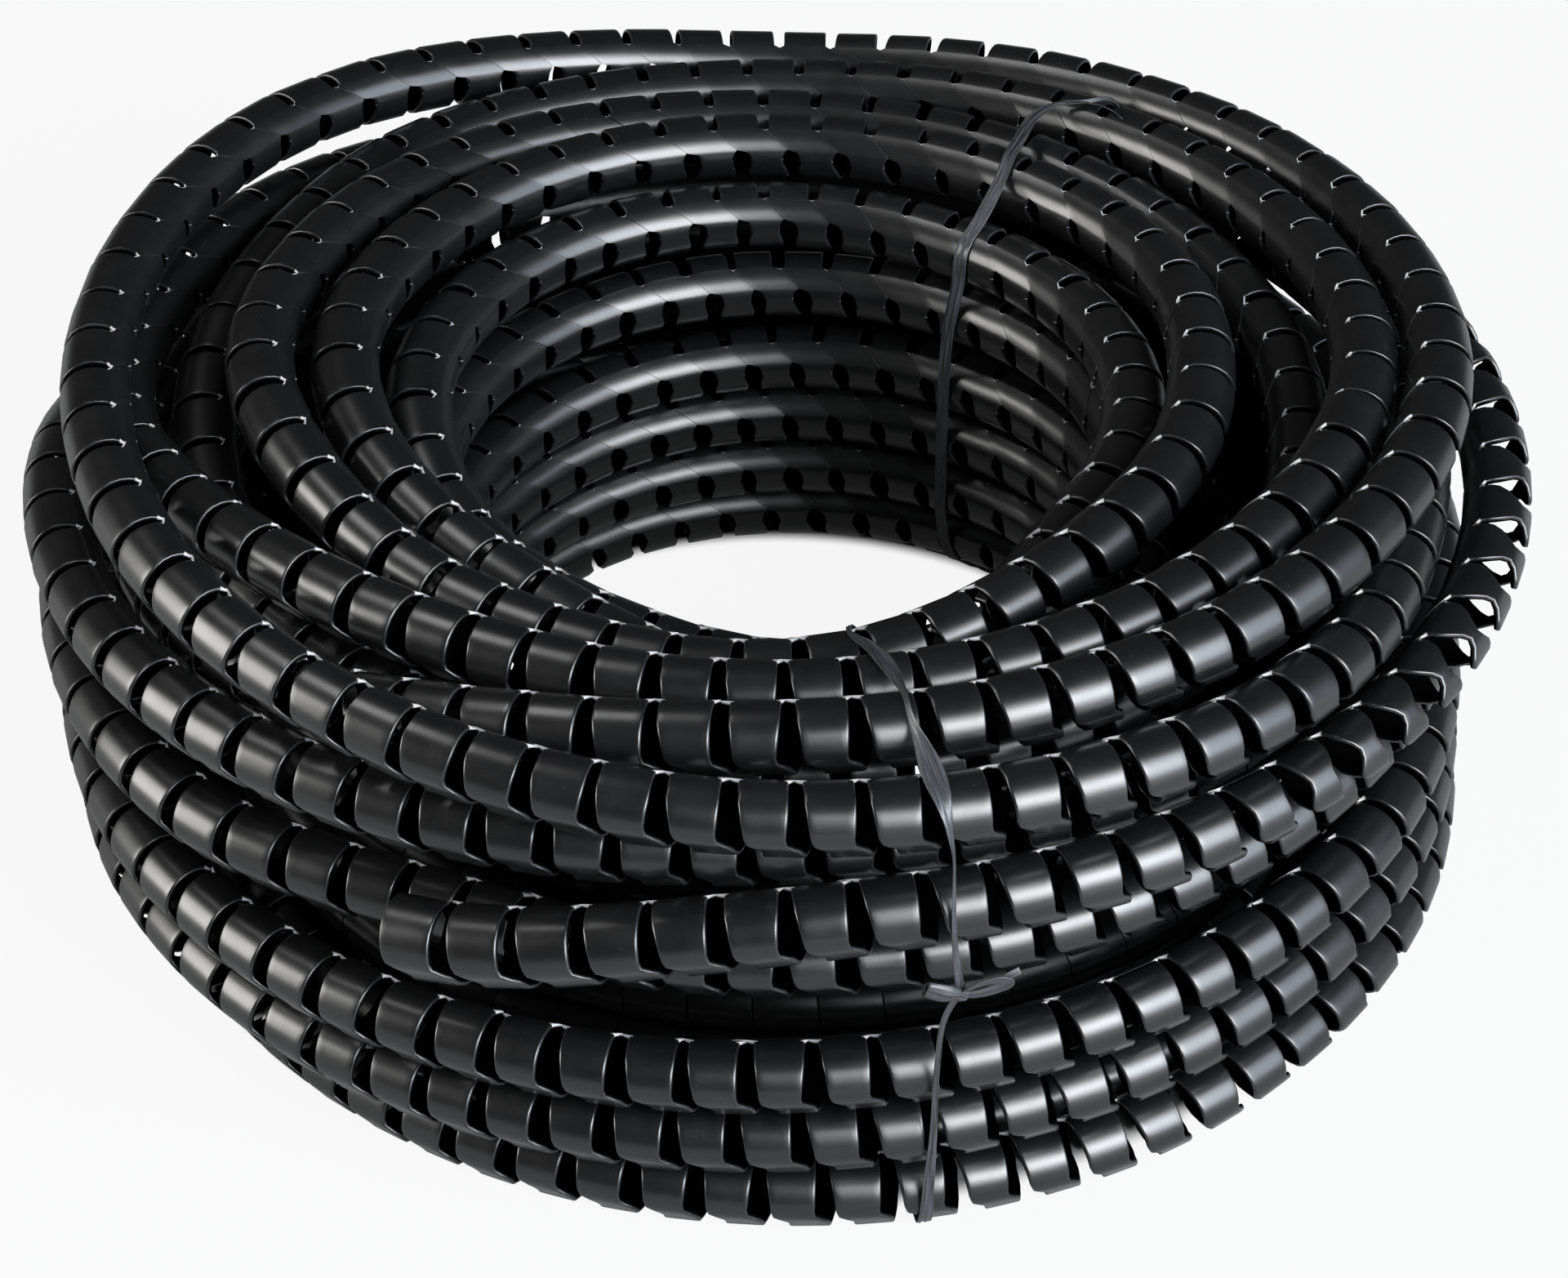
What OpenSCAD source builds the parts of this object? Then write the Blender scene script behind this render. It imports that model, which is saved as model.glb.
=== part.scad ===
// Coil of spiral-wrap hose guard: one long sleeve, wound from a flat plastic strip, coiled by hand
// and held by two ribbon ties. Millimetres, +Z up, the coil stands on z = 0 with its box centred on
// the origin. The sleeve's free end points to -X on the front (-Y) side.

/* [Sleeve] */
// Outer diameter of the spiral sleeve
sleeve_d = 20; // [16:1:26]
// Thickness of the strip that the sleeve is wound from
strip_t = 1.8; // [1.2:0.1:2.6]
// Width of the strip
strip_w = 13.6; // [11:0.2:15]
// Advance of the strip in one wrap round the sleeve
wrap_pitch = 17.2; // [16:0.2:20]
// Growth of the sleeve's radius at its open mouth
mouth_flare = 1.2; // [0:0.1:2]

/* [Coil] */
// Diameter of the clear opening through the coil
opening_d = 194; // [150:2:260]
// Depth to which the lowest turns are flattened where the coil stands
flat_depth = 2; // [1.6:0.1:2.4]
// Gap between the coil's inner core and the turns round it
core_gap = 0.35; // [0.3:0.05:0.8]

/* [Ties] */
// Direction of the front tie, in degrees counter-clockwise from +X
tie_front_at = -79; // [-84:1:-74]
// Width of a tie's ribbon
tie_w = 4; // [3:0.5:6]
// Thickness of a tie's ribbon
tie_t = 0.8; // [0.5:0.1:1]
// Gap between a tie and the turns that it goes round
tie_gap = 0.3; // [0.2:0.1:0.5]
// Size of the front tie's knot, across the ribbon
knot_w = 9; // [8:0.5:12]
// Length of the front tie's cut end beside its knot
tail_len = 9; // [6:1:14]
// Length of the front tie's bow beside its knot
bow_len = 12; // [10:1:16]
// Length of the back tie's folded end
fold_len = 17; // [12:1:20]

/* [Hidden] */

sleeve_r = sleeve_d / 2;
floor_z = sleeve_r - flat_depth; // height of the lowest turns' centre line
loop_rings = 24;                 // rings in one turn of the coil
sides = 6;                       // sides of the coiled tube
ring_step = 360 / loop_rings;
blend = 9;                       // half of the stretch over which the route is smoothed, degrees
tie_back_at = tie_front_at + 9 * ring_step;
tie_lift = tie_t + tie_gap;      // room under the lowest turns where a tie passes

// The route of the sleeve. Each row is the angle wound from +X, the radius and the height of the
// centre line, drawn for a 20 mm sleeve whose innermost turn has a radius of 107 mm.
drawn_d = 20;
drawn_r = 107;
drawn_z = 8;
route = [
    // the free end, rising across the front to the bulge on the right, then sinking under the top turns
    [-117, 212, 93], [-105, 208.5, 105], [-90, 205.5, 116], [-75, 205.5, 118.5],
    [-60, 205, 117.5], [-30, 207, 120], [0, 209, 122], [30, 209, 122], [60, 207, 120],
    [90, 204, 116], [105, 204.5, 113.5], [120, 203, 112.5], [135, 199.5, 112], [150, 195, 114],
    [180, 190, 116], [210, 188, 124], [225, 186, 134],
    // up between the top turns at the front, out to the rim at the right, and high over the left
    [240, 182, 146], [255, 179, 153], [270, 178.5, 156], [300, 178, 156], [330, 181, 155.5],
    [345, 186, 155.5], [360, 190, 156], [390, 193, 152], [420, 195, 146], [450, 196, 139],
    [465, 196, 145], [480, 196, 153], [495, 197, 160], [510, 198, 163], [525, 198, 161],
    [540, 198, 159.5], [555, 198, 159.5], [570, 200, 158], [585, 201, 156], [600, 202, 153],
    // down over the front rim, then inside the bulge and under the rim again
    [615, 203, 150.5], [630, 203, 148], [660, 203, 147], [675, 199, 143.5], [690, 190, 136],
    [700, 185, 132.5], [720, 184, 131], [750, 184, 130], [780, 183, 125], [810, 182.5, 119],
    [840, 188.5, 128.5], [855, 191, 134], [870, 193, 141], [885, 195, 140], [900, 197, 137],
    [908, 187, 139],
    // out from under the high turn and once round the top
    [915, 181, 143], [930, 170, 149.5], [945, 163.5, 152], [960, 159, 152.5],
    [990, 157.5, 152.5], [1020, 156.5, 153.3], [1050, 159, 154.5], [1065, 164, 155],
    [1080, 169, 155], [1110, 171, 150], [1140, 174, 146], [1170, 175, 142], [1200, 175, 144.5],
    [1215, 174, 146], [1230, 168, 146],
    // below the turn that crosses it, and round again as the third turn from the rim
    [1245, 171, 140], [1260, 170, 133], [1268, 167.5, 129], [1275, 166.5, 126.5],
    [1290, 166.5, 127], [1305, 166, 128], [1320, 165, 129], [1350, 163.5, 131], [1380, 162, 132],
    [1410, 155, 134], [1440, 149, 137], [1470, 150, 138], [1500, 153, 141], [1530, 154, 143],
    [1560, 154, 147], [1575, 151.5, 152], [1590, 149.5, 156], [1620, 153, 157], [1635, 148, 156],
    [1650, 143, 152], [1665, 140, 147], [1680, 138, 145.5], [1710, 138.5, 144],
    [1725, 134, 146.5], [1740, 126.5, 149.5], [1755, 121.5, 150], [1770, 119.5, 150.5],
    // the fourth turn from the rim, dipping at the front to pass under the one outside it
    [1800, 121, 150.5], [1830, 128, 148], [1860, 131, 147], [1890, 133, 147], [1920, 131, 150],
    [1950, 128, 152.5], [1980, 128, 155], [2010, 121.5, 147.5], [2025, 119, 143],
    [2040, 118, 137.5], [2055, 121, 129], [2085, 122.5, 125], [2100, 113.5, 132.6],
    // out inside it at the right, and the fifth turn from the rim
    [2115, 104, 136], [2130, 101.5, 138.5], [2160, 102, 138], [2190, 104, 136], [2220, 107, 135],
    [2250, 110, 136], [2280, 109, 138], [2310, 108, 139], [2340, 107, 139], [2370, 104, 128.5],
    [2400, 101, 123], [2430, 101.5, 116.5], [2460, 101, 114.6], [2480, 101, 115],
    [2520, 102, 116], [2610, 106, 113],
    // steadily down the inner wall, out along the bottom and back up the outer wall
    [2700, 106, 113], [2790, 105, 96.1], [2820, 105, 94.45], [3870, 106.7, 34.6],
    [3990, 112, 27.75], [4080, 112.5, 22.65], [4140, 112, 17.5], [4250, 107, 8], [4290, 117, 8],
    [4350, 130, 8], [4410, 137, 8], [4470, 139.5, 8], [4610, 146.5, 8], [4770, 158, 8],
    [5130, 180, 8], [5340, 195, 8], [5520, 197, 22.65], [5580, 205, 26], [5610, 203, 28],
    [5670, 196, 31.5], [5760, 194, 37], [5850, 197, 43], [5940, 208, 50], [5970, 206, 52],
    [6030, 197, 54], [6120, 193, 60], [6210, 197, 68], [6240, 200, 69.5], [6255, 203, 70.5],
    [6270, 207, 74],
    // behind the free end, and up to where the sleeve's inner end is buried
    [6285, 211, 80], [6300, 212, 84], [6330, 208, 86], [6345, 200, 85], [6355, 186, 84],
    [6390, 184, 84], [6420, 185, 85], [6480, 193, 88], [6570, 198, 92], [6600, 200, 92],
    [6615, 204, 91.5], [6630, 208, 95], [6645, 213, 106], [6660, 213, 121], [6690, 210, 125],
    [6705, 206, 127], [6720, 200, 127], [6735, 192, 126], [6750, 184, 124], [6780, 183, 122]
];
mouth_at = route[0][0];
turns_from = tie_front_at + 2 * ring_step; // where the free end meets the coiled turns
ring_count = floor((route[len(route) - 1][0] - turns_from) / ring_step) + 1;

grow = sleeve_d / drawn_d;
radius_table = [for (row = route) [row[0], opening_d / 2 + sleeve_r + (row[1] - drawn_r) * grow]];
height_table = [for (row = route) [row[0], floor_z + (row[2] - drawn_z) * grow]];

function mean_of(table, a) =
    (lookup(a - blend, table) + lookup(a - blend / 2, table) + lookup(a, table)
    + lookup(a + blend / 2, table) + lookup(a + blend, table)) / 5;
function spot(a) = [mean_of(radius_table, a), mean_of(height_table, a)]; // radius and height
function at(a, rz) = [rz[0] * cos(a), rz[0] * sin(a), rz[1]];
function along(a) = [-sin(a), cos(a), 0];
function round_to(a) = [for (k = [0:sides - 1]) sleeve_r * [cos(360 * k / sides), sin(360 * k / sides)]];
function wrapped(a) = abs(((a + 180) % 360 + 360) % 360 - 180); // distance from 0, in degrees
function ground(a) =
    min(wrapped(a - tie_front_at), wrapped(a - tie_back_at)) < ring_step / 2 ? tie_lift : 0;

// Rings of the coiled turns, with a straight stretch of one diameter at each end
ring_angles = [for (i = [0:ring_count - 1]) turns_from + i * ring_step];
ring_spots = [for (a = ring_angles) spot(a)];
function ring(i, shift) = [
    for (c = round_to(0)) at(ring_angles[i], [ring_spots[i][0] + c[0],
        max(ring_spots[i][1] + c[1], ground(ring_angles[i]))]) + shift * along(ring_angles[i])
];
turn_rings = concat(
    [ring(0, -sleeve_d)],
    [for (i = [0:ring_count - 1]) ring(i, 0)],
    [ring(ring_count - 1, sleeve_d)]
);

// Least gap between turns, measured between the centre lines at every ring
gap_list = [
    for (i = [0:ring_count - 1], k = [i + loop_rings:loop_rings:ring_count - 1])
        norm(ring_spots[i] - ring_spots[k]) - sleeve_d
];
echo(least_gap_between_turns = min(gap_list), turns = (ring_count - 1) / loop_rings);

// The coil's box is centred on the origin
all_points = [for (r = turn_rings, p = r) p];
box_x = [min([for (p = all_points) p[0]]), max([for (p = all_points) p[0]])];
box_y = [min([for (p = all_points) p[1]]), max([for (p = all_points) p[1]])];
centre = [-(box_x[0] + box_x[1]) / 2, -(box_y[0] + box_y[1]) / 2, 0];

// A closed skin over a row of rings, each with n points
module skin(rings) {
    n = len(rings[0]);
    last = len(rings) - 1;
    polyhedron(
        points = [for (r = rings, p = r) p],
        faces = concat(
            [for (i = [0:last - 1], k = [0:n - 1]) [i * n + k, i * n + (k + 1) % n, (i + 1) * n + k]],
            [for (i = [0:last - 1], k = [0:n - 1])
                [i * n + (k + 1) % n, (i + 1) * n + (k + 1) % n, (i + 1) * n + k]],
            [for (k = [1:n - 2]) [0, k + 1, k]],
            [for (k = [1:n - 2]) [last * n, last * n + k, last * n + k + 1]]
        )
    );
}

module sleeve_turns() {
    color("#26272a") translate(centre) skin(turn_rings);
}

// The turns that the outer layer covers, as one plain ring
drawn_core = [126, 170]; // inner and outer radius
drawn_core_top = 115;
drawn_core_edge = 9;
core_in = opening_d / 2 + sleeve_r + (drawn_core[0] - drawn_r) * grow;
core_out = opening_d / 2 + sleeve_r + (drawn_core[1] - drawn_r) * grow;
core_low = floor_z + sleeve_r * cos(180 / sides) + core_gap;
core_high = floor_z + (drawn_core_top - drawn_z) * grow;
core_round = drawn_core_edge * grow;

module sleeve_inner_turns() {
    color("#1c1d1f") translate(centre)
        rotate_extrude($fn = 96)
            polygon([
                [core_in, core_low], [core_out, core_low], [core_out, core_high - core_round],
                [core_out - core_round, core_high], [core_in + core_round, core_high],
                [core_in, core_high - core_round]
            ]);
}

// The free end keeps its open bore and its wraps: a strip wound right-handed along the route
strip_rings = 8; // rings in one wrap
end_arc_r = spot(turns_from)[0];
end_from = turns_from - (sleeve_d + core_gap) / end_arc_r * 180 / PI;
end_len = (end_from - mouth_at) * PI / 180 * end_arc_r;
end_wraps = (end_len - strip_w) / wrap_pitch;
function strip_point(s, turn, depth) =
    let (
        a = end_from - s / end_arc_r * 180 / PI, rz = spot(a),
        radius = sleeve_r + mouth_flare * pow(s / end_len, 2) - depth
    )
    at(a, [rz[0] - radius * sin(turn), rz[1] + radius * cos(turn)]);
strip_wound = [
    for (i = [0:floor(end_wraps * strip_rings)])
        let (turn = 360 * i / strip_rings, s = i / strip_rings * wrap_pitch)
        [
            strip_point(s, turn, 0),
            strip_point(s, turn, strip_t),
            strip_point(s + strip_w, turn, strip_t),
            strip_point(s + strip_w, turn, 0)
        ]
];

module sleeve_free_end() {
    color("#2c2d31") translate(centre) skin(strip_wound);
}

// Outline of the bundle of turns where a tie goes round it
module bundle(at_angle, margin) {
    hull()
        for (a = [at_angle:360:route[len(route) - 1][0]])
            if (a > mouth_at)
                translate(spot(a)) circle(r = sleeve_r + margin, $fn = 36);
}

module band_outline(at_angle) {
    tall = core_high * 2;
    wide = core_out * 2;
    difference() {
        intersection() {
            bundle(at_angle, tie_gap + tie_t);
            square([wide, tall]);
        }
        intersection() {
            bundle(at_angle, tie_gap);
            translate([0, tie_t]) square([wide, tall]);
        }
    }
}

module upright(at_angle) {
    translate(centre) rotate([0, 0, at_angle]) rotate([90, 0, 0]) children();
}

module tie_front_band() {
    color("#101112") upright(tie_front_at)
        linear_extrude(tie_w, center = true) band_outline(tie_front_at);
}

// The knot sits on the front band, between the free end and the turns below it
knot_h = 2 * tie_w - 1;
knot_t = 4 * tie_t + 2;
drawn_knot = [213, 95]; // radius and height
knot_r = opening_d / 2 + sleeve_r + (drawn_knot[0] - drawn_r) * grow;
knot_z = floor_z + (drawn_knot[1] - drawn_z) * grow;

module tie_front_knot() {
    color("#101112") difference() {
        upright(tie_front_at) translate([knot_r, knot_z, 0])
            cube([knot_t, knot_h, knot_w], center = true);
        upright(tie_front_at) linear_extrude(tie_w + 0.4, center = true) difference() {
            bundle(tie_front_at, 2 * tie_gap + tie_t);
            bundle(tie_front_at, 0);
        }
    }
}

module tie_front_tail() {
    color("#101112") upright(tie_front_at)
        translate([knot_r, knot_z + knot_h / 4, knot_w / 2 + tail_len / 2])
            cube([tie_t * 2, tie_w - 1, tail_len], center = true);
}

module tie_front_bow() {
    color("#101112") upright(tie_front_at)
        translate([knot_r, knot_z - knot_h / 8, -knot_w / 2 - bow_len / 2])
            cube([tie_t * 2, tie_w, bow_len], center = true);
}

module tie_back_band() {
    color("#101112") upright(tie_back_at)
        linear_extrude(tie_w, center = true) band_outline(tie_back_at);
}

// The back tie's end lies folded on top, in the valley between the two turns next to the rim
rim_spot = spot(tie_back_at + 360);
next_spot = spot(tie_back_at + 3 * 360);

module tie_back_fold() {
    lie = (rim_spot + next_spot) / 2;
    color("#101112") upright(tie_back_at)
        translate([lie[0], lie[1] + sleeve_r + tie_gap + tie_t / 2, tie_w / 2 + fold_len / 2])
            cube([tie_w, tie_t, fold_len], center = true);
}

sleeve_turns();
sleeve_inner_turns();
sleeve_free_end();
tie_front_band();
tie_front_knot();
tie_front_tail();
tie_front_bow();
tie_back_band();
tie_back_fold();
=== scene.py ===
import math

import bmesh
import bpy
import numpy as np
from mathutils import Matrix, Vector


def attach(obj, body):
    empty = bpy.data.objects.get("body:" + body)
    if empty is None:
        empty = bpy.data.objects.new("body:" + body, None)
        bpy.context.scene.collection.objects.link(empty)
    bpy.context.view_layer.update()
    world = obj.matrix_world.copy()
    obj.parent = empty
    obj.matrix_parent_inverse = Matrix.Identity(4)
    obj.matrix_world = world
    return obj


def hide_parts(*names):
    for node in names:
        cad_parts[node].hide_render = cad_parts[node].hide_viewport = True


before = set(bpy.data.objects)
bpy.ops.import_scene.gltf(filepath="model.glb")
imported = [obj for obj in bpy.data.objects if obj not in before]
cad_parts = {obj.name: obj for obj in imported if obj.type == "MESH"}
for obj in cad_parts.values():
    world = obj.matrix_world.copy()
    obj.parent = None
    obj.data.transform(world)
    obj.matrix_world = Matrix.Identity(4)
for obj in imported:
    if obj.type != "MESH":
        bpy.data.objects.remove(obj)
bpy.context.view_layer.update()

mm = 0.001  # the tables below are in millimetres and degrees

# A long lens looking down at the front of the coil
camera = {
    "aim": (0.00211, -0.00077, 0.053),
    "distance": 1.4,
    "elevation": 37.0,
    "lens": 105.94,
}


def makeCamera():
    data = bpy.data.cameras.new("camera")
    data.lens = camera["lens"]
    data.sensor_width = 36
    obj = bpy.data.objects.new("camera", data)
    bpy.context.scene.collection.objects.link(obj)
    rise = math.radians(camera["elevation"])
    back = Vector((0, -math.cos(rise), math.sin(rise)))
    obj.location = Vector(camera["aim"]) + back * camera["distance"]
    obj.rotation_euler = (math.pi / 2 - rise, 0, 0)
    bpy.context.scene.camera = obj


makeCamera()
print("camera placed")

# Each row is the angle wound from +X, the radius and the height of the sleeve's centre line
coil = {
    "centre": (2.10985, -0.77145),  # middle of the turns, from the origin
    "step": 0.5,    # angle from one point of the worked out line to the next
    "past": 12,     # how far that line runs on past the first and the last row
    "blend": 9.0,   # how far either side the rows are smoothed
    "samples": 9,   # taken for that
    "route": [
        # the free end, rising across the front to the bulge on the right, then sinking under the top turns
        (-117, 212, 93), (-105, 208.5, 105), (-90, 205.5, 116), (-75, 205.5, 118.5), (-60, 205, 117.5),
        (-30, 207, 120), (0, 209, 122), (30, 209, 122), (60, 207, 120), (90, 204, 116),
        (105, 204.5, 113.5), (120, 203, 112.5), (135, 199.5, 112), (150, 195, 114), (180, 190, 116),
        (210, 188, 124), (225, 186, 134),
        # up between the top turns at the front, out to the rim at the right, and high over the left
        (240, 182, 146), (255, 179, 153), (270, 178.5, 156), (300, 178, 156), (330, 181, 155.5),
        (345, 186, 155.5), (360, 190, 156), (390, 193, 152), (420, 195, 146), (450, 196, 139),
        (465, 196, 145), (480, 196, 153), (495, 197, 160), (510, 198, 163), (525, 198, 161),
        (540, 198, 159.5), (555, 198, 159.5), (570, 200, 158), (585, 201, 156), (600, 202, 153),
        # down over the front rim, then inside the bulge and under the rim again
        (615, 203, 150.5), (630, 203, 148), (660, 203, 147), (675, 199, 143.5), (690, 190, 136),
        (700, 185, 132.5), (720, 184, 131), (750, 184, 130), (780, 183, 125), (810, 182.5, 119),
        (840, 188.5, 128.5), (855, 191, 134), (870, 193, 141), (885, 195, 140), (900, 197, 137),
        (908, 187, 139),
        # out from under the high turn and once round the top
        (915, 181, 143), (930, 170, 149.5), (945, 163.5, 152), (960, 159, 152.5), (990, 157.5, 152.5),
        (1020, 156.5, 153.3), (1050, 159, 154.5), (1065, 164, 155), (1080, 169, 155), (1110, 171, 150),
        (1140, 174, 146), (1170, 175, 142), (1200, 175, 144.5), (1215, 174, 146), (1230, 168, 146),
        # below the turn that crosses it, and round again as the third turn from the rim
        (1245, 171, 140), (1260, 170, 133), (1268, 167.5, 129), (1275, 166.5, 126.5), (1290, 166.5, 127),
        (1305, 166, 128), (1320, 165, 129), (1350, 163.5, 131), (1380, 162, 132), (1410, 155, 134),
        (1440, 149, 137), (1470, 150, 138), (1500, 153, 141), (1530, 154, 143), (1560, 154, 147),
        (1575, 151.5, 152), (1590, 149.5, 156), (1620, 153, 157), (1635, 148, 156), (1650, 143, 152),
        (1665, 140, 147), (1680, 138, 145.5), (1710, 138.5, 144), (1725, 134, 146.5),
        (1740, 126.5, 149.5), (1755, 121.5, 150), (1770, 119.5, 150.5),
        # the fourth turn from the rim, dipping at the front to pass under the one outside it
        (1800, 121, 150.5), (1830, 128, 148), (1860, 131, 147), (1890, 133, 147), (1920, 131, 150),
        (1950, 128, 152.5), (1980, 128, 155), (2010, 121.5, 147.5), (2025, 119, 143), (2040, 118, 137.5),
        (2055, 121, 129), (2085, 122.5, 125), (2100, 113.5, 132.6),
        # out inside it at the right, and the fifth turn from the rim
        (2115, 104, 136), (2130, 101.5, 138.5), (2160, 102, 138), (2190, 104, 136), (2220, 107, 135),
        (2250, 110, 136), (2280, 109, 138), (2310, 108, 139), (2340, 107, 139), (2370, 104, 128.5),
        (2400, 101, 123), (2430, 101.5, 116.5), (2460, 101, 114.6), (2480, 101, 115), (2520, 102, 116),
        (2610, 106, 113),
        # steadily down the inner wall, out along the bottom and back up the outer wall
        (2700, 106, 113), (2790, 105, 96.1), (2820, 105, 94.45), (3870, 106.7, 34.6), (3990, 112, 27.75),
        (4080, 112.5, 22.65), (4140, 112, 17.5), (4250, 107, 8), (4290, 117, 8), (4350, 130, 8),
        (4410, 137, 8), (4470, 139.5, 8), (4610, 146.5, 8), (4770, 158, 8), (5130, 180, 8),
        (5340, 195, 8), (5520, 197, 22.65), (5580, 205, 26), (5610, 203, 28), (5670, 196, 31.5),
        (5760, 194, 37), (5850, 197, 43), (5940, 208, 50), (5970, 206, 52), (6030, 197, 54),
        (6120, 193, 60), (6210, 197, 68), (6240, 200, 69.5), (6255, 203, 70.5), (6270, 207, 74),
        # behind the free end, and up to where the sleeve's inner end is buried
        (6285, 211, 80), (6300, 212, 84), (6330, 208, 86), (6345, 200, 85), (6355, 186, 84),
        (6390, 184, 84), (6420, 185, 85), (6480, 193, 88), (6570, 198, 92), (6600, 200, 92),
        (6615, 204, 91.5), (6630, 208, 95), (6645, 213, 106), (6660, 213, 121), (6690, 210, 125),
        (6705, 206, 127), (6720, 200, 127), (6735, 192, 126), (6750, 184, 124), (6780, 183, 122),
        # in through the hidden turns: down their outer side, half a turn inwards, and up the inner side
        (6810, 176, 113), (6840, 168, 106), (6870, 160, 103), (8166, 159, 29), (8346, 137, 28),
        (9640, 137, 102),
    ],
}

sleeve = {
    "radius": 10.0,          # outer radius of the wound strip
    "thickness": 1.8,        # of the strip
    "rounding": 0.75,        # of the strip's outer edges where a gap is wide
    "tightRounding": 0.06,   # of the same edges where two wraps touch
    "gapPerRounding": 6,     # in between, a gap is so many times as wide as its edges' rounding
    "pitch": 17.2,           # advance in one wrap, at the front
    "sidePitch": 2.6,        # more of it at the left and right, where the coil is pulled open
    "innerPitch": -1.8,      # less of it on the inner wall
    "innerWall": (125, 107), # radii between which a turn comes to that pitch
    "mouthPitch": 1.8,       # more of it towards the open mouth
    "flare": 1.2,            # growth of the radius at the mouth
    "flareLength": 223.8,
    # rings of one wrap by their place on the sleeve's section, in degrees: 0 = outwards, 90 = up
    "rings": [116, 104, 90, 75, 60, 45, 30, 15, 3, -8, -18, -28, -38, -50, -64, -82, -104, -128, -152,
              -174, -190, -198, -203, -214, -226, -239],
    # how far the strip has moved along by then: straight round the open side, then in two quick steps
    "advance": [(116, 0), (60, -0.1), (0, 0.2), (-8, 0.7), (-18, 2.6), (-28, 4.2), (-38, 4.9), (-60, 5.6),
                (-90, 6.4), (-128, 7.4), (-174, 8.2), (-198, 8.6), (-239, 17.0), (-244, 17.2)],
    # width of the gap between wraps: closed where the strip makes its second step
    "gaps": [(116, 3.4), (104, 3.6), (60, 4.2), (30, 5.2), (0, 6.2), (-38, 6.8), (-60, 6), (-90, 4.5),
             (-152, 4), (-174, 6.2), (-190, 5.4), (-198, 3.6), (-203, 0.06), (-239, 0.06), (-244, 3.4)],
    "sideClosing": 0.42,     # how much narrower the gaps are at the coil's left and right
    "hiddenGaps": 0.1,       # share of their width that is left on the hidden turns
    "hiddenPaintedShade": 0.4,       # painted shade on the hidden turns: how far they take the near-black shade painted on the strip's inside
    # how much wider or narrower the gaps stand on a loose or a tight turn, by the angle wound
    "looseness": [(-117, 1), (-60, 1), (-45, 2.2), (-25, 4.4), (25, 4.6), (60, 1.2), (90, 1), (440, 1),
                  (480, 0.75), (600, 0.75), (640, 1)],
    # the places round the section where that tells, and the reach of each
    "looseAt": [(48, 30), (-66, 46)],
    # the underside of each wrap is pressed flat: share of the radius left there
    "pressed": [(-12, 1), (-18, 0.968), (-28, 0.942), (-38, 0.945), (-50, 0.988), (-54, 1)],
    "gapEnd": 120,           # where a gap comes to its upper end
    # size of the painted glint there, a pale spot that stands in for a highlight, by direction from the
    # coil's middle
    "spots": [(0, 0.55), (40, 0.12), (70, 0.04), (150, 0.04), (175, 0.45), (215, 0.85), (270, 1), (330, 0.9),
              (360, 0.55)],
    # unevenness from wrap to wrap, in mm but for the lean, in radians, and the gaps' share
    "shift": 0.35,
    "sway": 0.45,
    "swell": 0.08,
    "lean": 0.014,
    "gapSpread": 0.08,
    "freeGap": 5,            # gap from which the wraps shift and sway freely
    "seed": 7,
}


# The centre line at close steps: the length wound so far, the place, and the ways out and up from it
def layRoute():
    rows = np.array(coil["route"], float)
    wound = np.arange(rows[0, 0] - coil["past"], rows[-1, 0] + coil["past"], coil["step"])
    shifts = np.linspace(-coil["blend"], coil["blend"], coil["samples"])
    radius, height = [
        sum(np.interp(wound + shift, rows[:, 0], rows[:, k]) for shift in shifts) / len(shifts) * mm
        for k in (1, 2)
    ]
    turn = np.radians(wound)
    outward = np.stack([np.cos(turn), np.sin(turn), 0 * turn], 1)
    place = outward * radius[:, None]
    place[:, 2] = height
    place[:, :2] += np.array(coil["centre"]) * mm
    ahead = np.gradient(place, axis=0)
    ahead /= np.linalg.norm(ahead, axis=1)[:, None]
    outward -= ahead * np.sum(outward * ahead, 1)[:, None]
    outward /= np.linalg.norm(outward, axis=1)[:, None]
    steps = np.linalg.norm(np.diff(place, axis=0), axis=1)
    length = np.concatenate([[0], np.cumsum(steps)])
    length -= np.interp(rows[0, 0], wound, length)
    return {
        "angle": wound,
        "length": length,
        "place": place,
        "outward": outward,
        "up": np.cross(outward, ahead),
        "radius": radius,
        "height": height,
    }


line = layRoute()


def alongLine(key, length):
    return np.stack([np.interp(length, line["length"], line[key][:, k]) for k in range(3)], -1)


def fromTable(rows, at):
    rows = np.array(sorted(rows), float)
    return np.interp(at, rows[:, 0], rows[:, 1])


# Wraps counted from the mouth, at every step of the centre line
def countWraps():
    turn = np.radians(line["angle"])
    fromMouth = line["length"] / mm
    pitch = sleeve["pitch"] + sleeve["sidePitch"] * np.cos(turn) ** 2
    outer, inner = sleeve["innerWall"]
    pitch += sleeve["innerPitch"] * np.clip((outer - line["radius"] / mm) / (outer - inner), 0, 1)
    pitch += sleeve["mouthPitch"] * np.clip(1 - fromMouth / sleeve["flareLength"], 0, 1) ** 2
    steps = np.diff(line["length"]) / (pitch[:-1] * mm)
    count = np.concatenate([[0], np.cumsum(steps)])
    count -= np.interp(0, line["length"], count)
    return count


line["count"] = countWraps()


def countAt(angle):
    return np.interp(angle, line["angle"], line["count"])


# Small unevenness from wrap to wrap, which runs smoothly along the strip, for more wraps than there are
unevenKinds = ["shift", "phase", "swell", "lean", "gap"]
rng = np.random.default_rng(sleeve["seed"])
uneven = rng.normal(0, 1, (1700, len(unevenKinds))).clip(-2, 2)


def unevenAt(wrap, kind):
    return np.interp(wrap, np.arange(len(uneven)), uneven[:, unevenKinds.index(kind)])


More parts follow.
